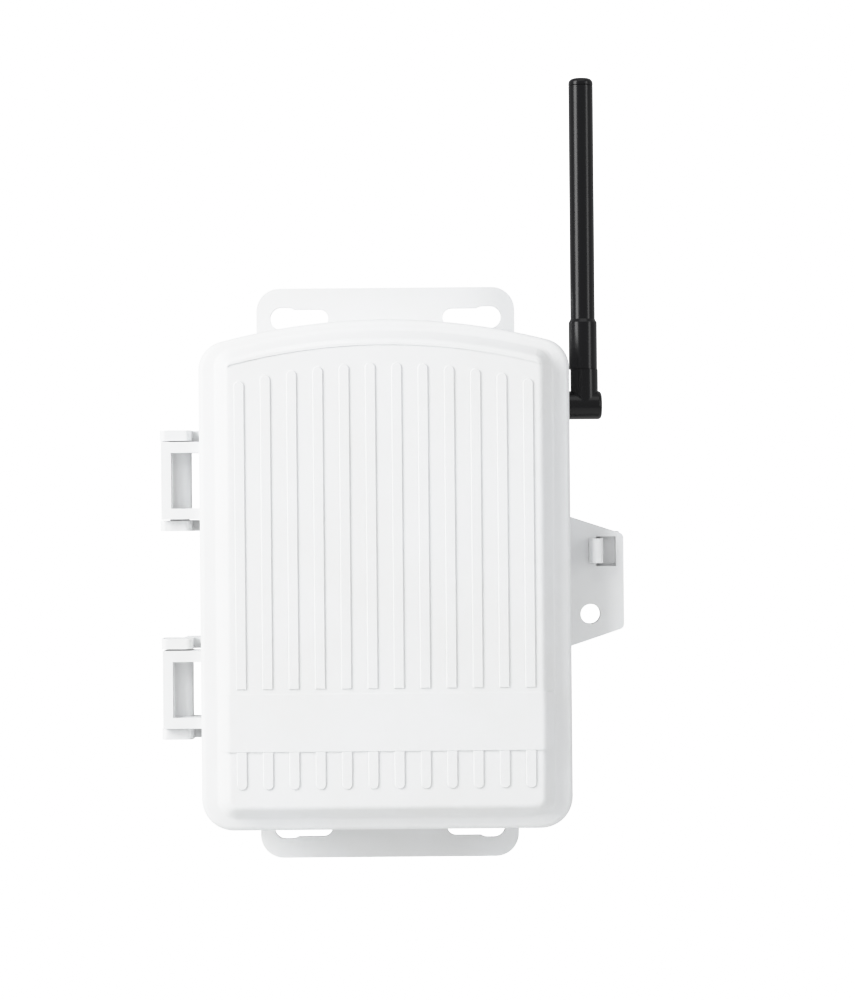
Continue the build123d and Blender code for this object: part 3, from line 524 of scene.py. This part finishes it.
def pan_head_recipe(finish):
    """A pan head and its shank; the head stands on the place."""
    screw = Recipe("pan_head")
    radius = screw.size("Head Radius", head_radius)
    height = screw.size("Head Height", head_height)
    length = screw.size("Shank Length", shank_length)
    recess = screw.size("Recess Width", recess_width)
    loops = {"Vertices": 36, "Side_Segments": 3, "Fill_Segments": 5}
    disc = screw.add("GeometryNodeMeshCylinder", Radius=radius, Depth=height, **loops)
    spot = screw.add("ShaderNodeSeparateXYZ", Vector=screw.add("GeometryNodeInputPosition")).node
    squares = [screw.math("POWER", screw.math("ABSOLUTE", spot.outputs[axis]), 2.0) for axis in "XY"]
    ratio = screw.math("DIVIDE", screw.math("SQRT", screw.math("ADD", *squares)), radius)
    share = screw.math("POWER", ratio, drop_power)
    lift = screw.math("ADD", screw.math("DIVIDE", spot.outputs["Z"], height), 0.5)
    most = screw.math("MULTIPLY", height, -edge_drop)
    fall = screw.math("MULTIPLY", screw.math("MULTIPLY", share, lift), most)
    domed = screw.add("GeometryNodeSetPosition", Geometry=disc, Offset=screw.vector(z=fall))
    span = screw.math("MULTIPLY", radius, recess_span)
    deep = screw.math("MULTIPLY", height, recess_height)
    raised = screw.vector(z=screw.math("MULTIPLY", height, recess_middle))
    bars = []
    for across, along in ((recess, span), (span, recess)):
        bar = screw.add("GeometryNodeMeshCube", Size=screw.vector(across, along, deep))
        bars.append(screw.moved(bar, Translation=raised))
    meshes = {"Mesh 1": domed, "Mesh 2": bars}
    cut = screw.add("GeometryNodeMeshBoolean", {"operation": "DIFFERENCE"}, **meshes)
    head = screw.moved(cut, Translation=screw.vector(z=screw.math("MULTIPLY", height, 0.5)))
    shank = screw.add("GeometryNodeMeshCylinder", Vertices=20, Radius=shank_radius, Depth=length)
    shank = screw.moved(shank, Translation=screw.vector(z=screw.math("MULTIPLY", length, -0.5)))
    return screw.close(screw.joined(head, shank), face_front, finish)


pan_head = pan_head_recipe(finishes["steel"])
print("pan head of", round(2 * head_radius / mm, 1), "mm")

# %% [markdown]
# The screws stand where the CAD model has its plain ones. Their places are read from the boxes of those
# pieces, one head radius in from each corner, so they follow the CAD model when it changes.

# %% Places of the screws
board_low, board_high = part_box("main_board")
board_face = board_low.y
low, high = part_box("board_screws")
columns = (low.x + head_radius, high.x - head_radius)
rows = (low.z + head_radius, high.z - head_radius)
board_seats = [(x, board_face, z) for x in columns for z in rows]
adopt(grow("board_pan_screws", pan_head, board_seats), "base", "steel", "board_screws")
low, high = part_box("holder_screws")
columns = (low.x + head_radius, high.x - head_radius)
holder_seats = [(x, low.y + head_height, (low.z + high.z) / 2) for x in columns]
adopt(grow("holder_pan_screws", pan_head, holder_seats), "base", "steel", "holder_screws")

# %% [markdown]
# ### Battery springs
# Each bay presses its cell with a conical spring of plated wire. A spiral curve that gets narrower as
# it rises is the wire's centre line, and a small circle swept along it is the wire. The middle bay is
# turned round, so its spring is turned over: the recipe finds it by its index among the places.

# %% Battery springs
wire_radius = 0.42 * mm


def spring_recipe(finish):
    """A conical spring that rises from the place; the turned bay's one hangs from it."""
    spring = Recipe("bay_spring")
    turns = spring.size("Turns", 4.5)
    foot = spring.size("Foot Radius", 6.4 * mm)
    tip = spring.size("Tip Radius", 3.9 * mm)
    height = spring.size("Height", 5.6 * mm)
    turned_bay = spring.size("Turned Bay", 1, "Int")
    cone = {"Start_Radius": foot, "End_Radius": tip, "Height": height}
    line = spring.add("GeometryNodeCurveSpiral", Resolution=22, Rotations=turns, **cone)
    wire = spring.add("GeometryNodeCurvePrimitiveCircle", Resolution=8, Radius=wire_radius)
    coil = spring.add("GeometryNodeCurveToMesh", Curve=line, Profile_Curve=wire, Fill_Caps=True)
    coil = spring.moved(coil, Translation=spring.vector(z=wire_radius))
    order = spring.add("GeometryNodeInputIndex")
    same = spring.math("COMPARE", order, turned_bay, 0.5)
    over = spring.vector(x=spring.math("MULTIPLY", same, math.pi))
    return spring.close(coil, over, finish)


low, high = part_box("battery_springs")
widest_turn = 7.0 * mm
bay_middle, bay_depth = (low.x + high.x) / 2, (low.y + high.y) / 2
bay_pitch = (high.x - low.x) / 2 - widest_turn


def bay_places(outer_level, middle_level):
    """A point in each of the three bays; the middle bay is turned round and has its own level."""
    bays = ((-1, outer_level), (0, middle_level), (1, outer_level))
    return [(bay_middle + side * bay_pitch, bay_depth, level) for side, level in bays]


springs = grow("bay_springs", spring_recipe(finishes["nickel_plate"]), bay_places(low.z, high.z))
adopt(springs, "base", "nickel_plate", "battery_springs")

# %% [markdown]
# ### Chip legs
# The processor has gull-wing legs on all four sides and each memory chip on two. One leg is a flat
# strip along a soft S curve. A row of them is set along one edge, and the row is copied round the chip,
# so the count, the pitch and the number of sides are all there is to change.

# %% Chip legs
strip_thickness = 0.16 * mm
upper_pull, lower_pull = 0.75, 0.15


def leg_recipe(finish):
    """Rows of gull-wing legs round a place; they rise from it towards +Z."""
    leg = Recipe("gull_wing_legs")
    count = leg.size("Legs", 12, "Int")
    pitch = leg.size("Pitch", 1.0 * mm)
    edge = leg.size("Half Width", 7.0 * mm)
    sides = leg.size("Sides", 4, "Int")
    rise = leg.size("Rise", 0.8 * mm)
    reach = leg.size("Reach", 1.5 * mm)
    strip_width = leg.size("Strip Width", 0.4 * mm)
    foot_level = strip_thickness / 2
    bend = leg.add(
        "GeometryNodeCurvePrimitiveBezierSegment",
        Resolution=10,
        Start=leg.vector(z=rise),
        Start_Handle=leg.vector(y=leg.math("MULTIPLY", reach, upper_pull), z=rise),
        End_Handle=leg.vector(y=leg.math("MULTIPLY", reach, lower_pull), z=foot_level),
        End=leg.vector(y=reach, z=foot_level),
    )
    flat = leg.add("GeometryNodeCurvePrimitiveQuadrilateral", Width=strip_thickness, Height=strip_width)
    upright = leg.add("GeometryNodeSetCurveNormal", Curve=bend)
    made = leg.add("GeometryNodeCurveToMesh", Curve=upright, Profile_Curve=flat, Fill_Caps=True)
    lined = leg.copies(made, leg.line_of(count, pitch, edge))
    stack = leg.add("GeometryNodeMeshLine", Count=sides, Offset=(0, 0, 0))
    order = leg.add("GeometryNodeInputIndex")
    turn = leg.vector(z=leg.math("DIVIDE", leg.math("MULTIPLY", order, 2 * math.pi), sides))
    return leg.close(leg.copies(lined, stack, Rotation=turn), face_front, finish)


gull_wing = leg_recipe(finishes["tin_plate"])
low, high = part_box("processor_chip")
chip_middle = ((low.x + high.x) / 2, high.y, (low.z + high.z) / 2)
leg_sizes = {"Legs": 16, "Pitch": 0.8 * mm, "Half Width": (high.x - low.x) / 2}
adopt(grow("processor_legs", gull_wing, [chip_middle], leg_sizes), "base", "tin_plate")
low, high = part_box("memory_chips")
half_chip = 2.5 * mm
chip_middles = [((low.x + high.x) / 2, high.y, z) for z in (low.z + half_chip, high.z - half_chip)]
leg_sizes = {"Legs": 6, "Pitch": 1.27 * mm, "Half Width": half_chip, "Sides": 2}
adopt(grow("memory_legs", gull_wing, chip_middles, leg_sizes), "base", "tin_plate")

# %% [markdown]
# ### Chip resistors and capacitors
# Rows of tiny bricks with tinned ends stand round the chips. The same brick recipe makes the bodies,
# one brick each, and the ends, two bricks a step apart. The tinned ends are a little thicker than the
# body, as they wrap round it.

# %% Chip resistors and capacitors
brick_long, brick_wide, brick_high, end_long = 1.1 * mm, 1.0 * mm, 0.6 * mm, 0.35 * mm
tin_wrap = 0.04 * mm


def brick_recipe(finish):
    """One brick, or a row of them, that stands on the place."""
    brick = Recipe("bricks")
    long = brick.size("Long", brick_long)
    wide = brick.size("Wide", brick_wide)
    high = brick.size("High", brick_high)
    count = brick.size("Count", 1, "Int")
    step = brick.size("Step", 0.0)
    turn = brick.size("Turn", 0.0)
    one = brick.add("GeometryNodeMeshCube", Size=brick.vector(long, wide, high))
    one = brick.moved(one, Translation=brick.vector(z=brick.math("MULTIPLY", high, 0.5)))
    row = brick.copies(one, brick.line_of(count, step))
    return brick.close(brick.moved(row, Rotation=brick.vector(z=turn)), face_front, finish)


ceramic_brick = brick_recipe(finishes["chip_ceramic"])
tinned_brick = brick_recipe(finishes["tin_plate"])
print("brick of", round(brick_long / mm, 1), "by", round(brick_wide / mm, 1), "mm")

# %% [markdown]
# A board layout sets such parts in straight rows beside the chip that they serve. Each row is given by
# its two ends and its count, in millimetres across and up from the middle of the mounting plate.


# %% Rows of bricks
def row_of(first, last, count):
    """Points on the board's face from one (x, z) to another, in millimetres."""
    places = []
    for step in range(count):
        x, z = (start + (end - start) * step / (count - 1) for start, end in zip(first, last))
        places.append((x * mm, board_face, z * mm))
    return places


lying_rows = (
    ((-33, 76), (-17, 76), 5),
    ((9, 55), (37, 55), 6),
    ((-17, 82), (-17, 94), 5),
    ((-35, 52), (-27, 52), 3),
    ((-13, 95), (0, 95), 4),
)
standing_rows = (
    ((-36.5, 59), (-36.5, 71), 4),
    ((-13, 60), (-13, 71), 4),
    ((44, 62), (44, 88), 7),
    ((34.5, 18), (34.5, 27), 3),
    ((-8, 30), (8, 30), 5),
)
for word, rows, turn in (("lying", lying_rows, 0.0), ("standing", standing_rows, math.pi / 2)):
    places = [place for row in rows for place in row_of(*row)]
    adopt(grow(f"chip_bodies_{word}", ceramic_brick, places, {"Turn": turn}), "base", "chip_black")
    ends = {
        "Long": end_long,
        "Wide": brick_wide + tin_wrap,
        "High": brick_high + tin_wrap,
        "Count": 2,
        "Step": brick_long + end_long,
        "Turn": turn,
    }
    adopt(grow(f"chip_ends_{word}", tinned_brick, places, ends), "base", "tin_plate")

# %% [markdown]
# ### Plated rings
# Every hole through a board has a tinned ring. Four large ones lie under the screws, and small vias are
# sown over the copper with a fixed seed. A ring is a circle swept along a circle and pressed flat.


# %% Plated rings
def ring_recipe(finish):
    """A flat ring round the place."""
    ring = Recipe("plated_rings")
    radius = ring.size("Radius", 3.2 * mm)
    band = ring.size("Band", 0.55 * mm)
    height = ring.size("Height", 0.06)
    steps = ring.size("Steps", 36, "Int")
    path = ring.add("GeometryNodeCurvePrimitiveCircle", Resolution=steps, Radius=radius)
    wire = ring.add("GeometryNodeCurvePrimitiveCircle", Resolution=6, Radius=band)
    round_ring = ring.add("GeometryNodeCurveToMesh", Curve=path, Profile_Curve=wire)
    pressed = ring.moved(round_ring, Scale=ring.vector(1.0, 1.0, height))
    return ring.close(pressed, face_front, finish)


plated_ring = ring_recipe(finishes["tin_plate"])
adopt(grow("screw_rings", plated_ring, board_seats), "base", "tin_plate")
random.seed(11)
via_count, margin = 90, 7 * mm
vias = []
for _ in range(via_count):
    x = random.uniform(board_low.x + margin, board_high.x - margin)
    z = random.uniform(board_low.z + margin, board_high.z - margin)
    vias.append((x, board_face, z))
small = {"Radius": 0.32 * mm, "Band": 0.13 * mm, "Height": 0.3, "Steps": 10}
adopt(grow("board_vias", plated_ring, vias, small), "base", "tin_plate")

# %% [markdown]
# ### Perforated shield can
# The radio sits under a tin can whose lid is full of round holes. The can is a thin shell, bent from
# one sheet, so its mesh is a rounded box with an open bottom and a Solidify modifier. The box is built
# from rings of points: two for the upright wall and one for each step of the fold into the lid. A
# recipe makes the grid of pins that punch the holes, and one Boolean modifier takes them out.


# %% Helpers for shells
def rounded_ring(low, high, corner, depth, steps=6):
    """Points round a rectangle with round corners, at one depth, seen from the front."""
    left, right = low.x + corner, high.x - corner
    bottom, top = low.z + corner, high.z - corner
    ring = []
    for quarter, (x, z) in enumerate(((right, top), (left, top), (left, bottom), (right, bottom))):
        for step in range(steps + 1):
            angle = math.radians(90) * (quarter + step / steps)
            ring.append((x + corner * math.cos(angle), depth, z + corner * math.sin(angle)))
    return ring


def skin(rings):
    """Join equal rings with quads, and close the last one with a face."""
    count = len(rings[0])
    points = [point for ring in rings for point in ring]
    faces = []
    for level in range(len(rings) - 1):
        for step in range(count):
            here, there = level * count + step, level * count + (step + 1) % count
            faces.append((here, there, there + count, here + count))
    faces.append(tuple(range(len(points) - count, len(points))))
    return points, faces


def piece_from(name, points, faces, finish):
    """A smooth-shaded mesh object from points and faces, with its normals outwards."""
    mesh = bpy.data.meshes.new(name)
    mesh.from_pydata(points, [], faces)
    shape = bmesh.new()
    shape.from_mesh(mesh)
    bmesh.ops.recalc_face_normals(shape, faces=shape.faces)
    shape.to_mesh(mesh)
    shape.free()
    eased(mesh)
    mesh.materials.append(finish)
    piece = bpy.data.objects.new(name, mesh)
    scene.collection.objects.link(piece)
    return piece


print("shell helpers ready")

# %% Perforated shield can
sheet_thickness = 0.3 * mm
can_corner, can_fold, fold_steps = 1.2 * mm, 0.7 * mm, 3
hole_radius, hole_pitch = 0.8 * mm, 3.6 * mm


def pin_recipe(finish):
    """A grid of round pins, with its middle at the place."""
    pins = Recipe("punch_pins")
    radius = pins.size("Radius", hole_radius)
    length = pins.size("Length", 3 * mm)
    columns = pins.size("Columns", 8, "Int")
    rows = pins.size("Rows", 7, "Int")
    pitch = pins.size("Pitch", hole_pitch)
    wide = pins.math("MULTIPLY", pins.math("SUBTRACT", columns, 1.0), pitch)
    tall = pins.math("MULTIPLY", pins.math("SUBTRACT", rows, 1.0), pitch)
    points = {"Vertices_X": columns, "Vertices_Y": rows}
    grid = pins.add("GeometryNodeMeshGrid", Size_X=wide, Size_Y=tall, **points)
    pin = pins.add("GeometryNodeMeshCylinder", Vertices=16, Radius=radius, Depth=length)
    return pins.close(pins.copies(pin, grid), face_front, finish)


low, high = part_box("shield_can")
levels = [(0.0, high.y), (0.0, low.y + can_fold)]
for step in range(1, fold_steps + 1):
    turn = math.radians(90 * step / fold_steps)
    levels.append((can_fold * (1 - math.cos(turn)), low.y + can_fold * (1 - math.sin(turn))))
rings = []
for inset, depth in levels:
    shift = Vector((inset, 0, inset))
    rings.append(rounded_ring(low + shift, high - shift, can_corner - inset, depth))
can = piece_from("perforated_can", *skin(rings), finishes["tin_plate"])
wall = can.modifiers.new("wall", "SOLIDIFY")
wall.thickness = sheet_thickness
wall.offset = -1
lid_middle = ((low.x + high.x) / 2, low.y, (low.z + high.z) / 2)
pins = grow("punch", pin_recipe(finishes["tin_plate"]), [lid_middle])
punch = can.modifiers.new("holes", "BOOLEAN")
punch.object = pins
punch.operation = "DIFFERENCE"
applied(can)
bpy.data.objects.remove(pins)
adopt(can, "base", "tin_plate", "shield_can")

# %% [markdown]
# ### Turned pieces: cells and capacitors
# A battery cell and a capacitor are both turned shapes. A shrink sleeve rolls over the can's shoulder,
# and the bare metal end lies a little lower. Their outlines are given as pairs of radius and height,
# and are spun round in code. A Screw modifier could spin them too, but here each piece also needs its
# own direction. The sleeve and the metal are separate pieces, because they have separate finishes.

# %% Helper for turned pieces
turn_steps = 48


def turned(name, outline, feet, axis, finish):
    """Spin an outline of (radius, height) pairs at each foot, and close both ends.

    Along Z a foot's way, 1 or -1, says if the heights go up or down. Along Y they go to the front.
    """
    points, faces = [], []
    for foot, way in feet:
        base = len(points)
        for radius, height in outline:
            for step in range(turn_steps):
                angle = 2 * math.pi * step / turn_steps
                side, out = radius * math.cos(angle), radius * math.sin(angle)
                local = Vector((side, out, way * height)) if axis == "Z" else Vector((side, -height, out))
                points.append(tuple(Vector(foot) + local))
        count = len(outline)
        for level in range(count - 1):
            for step in range(turn_steps):
                here = base + level * turn_steps + step
                there = base + level * turn_steps + (step + 1) % turn_steps
                faces.append((here, there, there + turn_steps, here + turn_steps))
        faces.append(tuple(range(base, base + turn_steps)))
        faces.append(tuple(range(base + (count - 1) * turn_steps, base + count * turn_steps)))
    return piece_from(name, points, faces, finish)


print("turned pieces have", turn_steps, "sides")

# %% Battery cells
low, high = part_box("battery_cells")
cell_radius, cell_length = (high.y - low.y) / 2, 50.0 * mm
nub_height, roll = 2.0 * mm, 1.0 * mm
cell_feet = list(zip(bay_places(high.z, low.z), (-1, 1, -1)))
sleeve_outline = [
    (cell_radius - 2.6 * mm, nub_height + 0.5 * mm),
    (cell_radius - 2.4 * mm, nub_height + 0.05 * mm),
    (cell_radius - roll, nub_height),
    (cell_radius - 0.3 * mm, nub_height + 0.3 * mm),
    (cell_radius, nub_height + roll),
    (cell_radius, cell_length - roll),
    (cell_radius - 0.3 * mm, cell_length - 0.3 * mm),
    (cell_radius - roll, cell_length),
    (cell_radius - 2.4 * mm, cell_length - 0.05 * mm),
    (cell_radius - 2.6 * mm, cell_length - 0.5 * mm),
]
can_outline = [
    (2.9 * mm, 0.0),
    (3.3 * mm, 0.15 * mm),
    (3.4 * mm, 0.5 * mm),
    (3.4 * mm, nub_height + 0.1 * mm),
    (6.4 * mm, nub_height + 0.35 * mm),
    (cell_radius - 2.2 * mm, nub_height + 0.3 * mm),
    (cell_radius - 2.2 * mm, cell_length - 0.3 * mm),
    (5.5 * mm, cell_length - 0.35 * mm),
    (5.0 * mm, cell_length - 0.15 * mm),
]
cell_sleeves = turned("cell_sleeves", sleeve_outline, cell_feet, "Z", finishes["cell_sleeve"])
adopt(cell_sleeves, "base", "cell_sleeve", "battery_cells")
cell_cans = turned("cell_cans", can_outline, cell_feet, "Z", finishes["nickel_plate"])
adopt(cell_cans, "base", "nickel_plate")

# %% [markdown]
# ### Capacitors
# The two electrolytic capacitors have a dark sleeve with a crimped waist near the board. Their bare
# tops are scored with a cross, where they may burst safely. Two thin bars, from the brick recipe, cut
# the scores with a Boolean.

# %% Capacitors
low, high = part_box("capacitors")
cap_radius, cap_height = (high.z - low.z) / 2, high.y - low.y
cap_middle = (low.z + high.z) / 2
cap_feet = [((x, high.y, cap_middle), 1) for x in (low.x + cap_radius, high.x - cap_radius)]
cap_sleeve = [
    (cap_radius - 0.5 * mm, 0.0),
    (cap_radius, 0.5 * mm),
    (cap_radius, 1.2 * mm),
    (cap_radius - 0.35 * mm, 1.7 * mm),
    (cap_radius, 2.2 * mm),
    (cap_radius, cap_height - 0.5 * mm),
    (cap_radius - 0.15 * mm, cap_height - 0.15 * mm),
    (cap_radius - 0.5 * mm, cap_height),
    (cap_radius - 0.9 * mm, cap_height - 0.05 * mm),
    (cap_radius - 1.0 * mm, cap_height - 0.3 * mm),
]
cap_sleeves = turned("capacitor_sleeves", cap_sleeve, cap_feet, "Y", finishes["capacitor_sleeve"])
adopt(cap_sleeves, "base", "capacitor_sleeve", "capacitors")
top_radius = cap_radius - 0.95 * mm
cap_top = [
    (top_radius, cap_height - 0.6 * mm),
    (top_radius, cap_height - 0.2 * mm),
    (top_radius - 0.15 * mm, cap_height - 0.12 * mm),
]
tops = turned("capacitor_tops", cap_top, cap_feet, "Y", finishes["tin_plate"])
score_floor = 0.35 * mm
score_sizes = {"Long": 2.4 * top_radius, "Wide": 0.25 * mm, "High": 1 * mm}
score_places = [(x, y - cap_height + score_floor, z) for (x, y, z), _ in cap_feet]
for turn in (0.0, math.pi / 2):
    bars = grow("score", tinned_brick, score_places, {**score_sizes, "Turn": turn})
    cut = tops.modifiers.new("score", "BOOLEAN")
    cut.object = bars
    cut.operation = "DIFFERENCE"
    applied(tops)
    bpy.data.objects.remove(bars)
adopt(tops, "base", "tin_plate")

# %% [markdown]
# ## Floor
# A wide pale disc lies well below the box, as a studio floor does under something that hangs on a wall.

# %% Floor
floor_level, floor_radius, floor_sides = -0.62, 1.72, 96
rim = []
for step in range(floor_sides):
    angle = 2 * math.pi * step / floor_sides
    rim.append((floor_radius * math.cos(angle), floor_radius * math.sin(angle), floor_level))
floor_mesh = bpy.data.meshes.new("floor")
floor_mesh.from_pydata(rim, [], [range(floor_sides)])
floor = bpy.data.objects.new("floor", floor_mesh)
scene.collection.objects.link(floor)
floor_mesh.materials.append(moulded("floor_pale", (0.90, 0.90, 0.895), 0.7, 3.0, 0.02, 0.01))
print("floor", floor_radius, "m in radius")
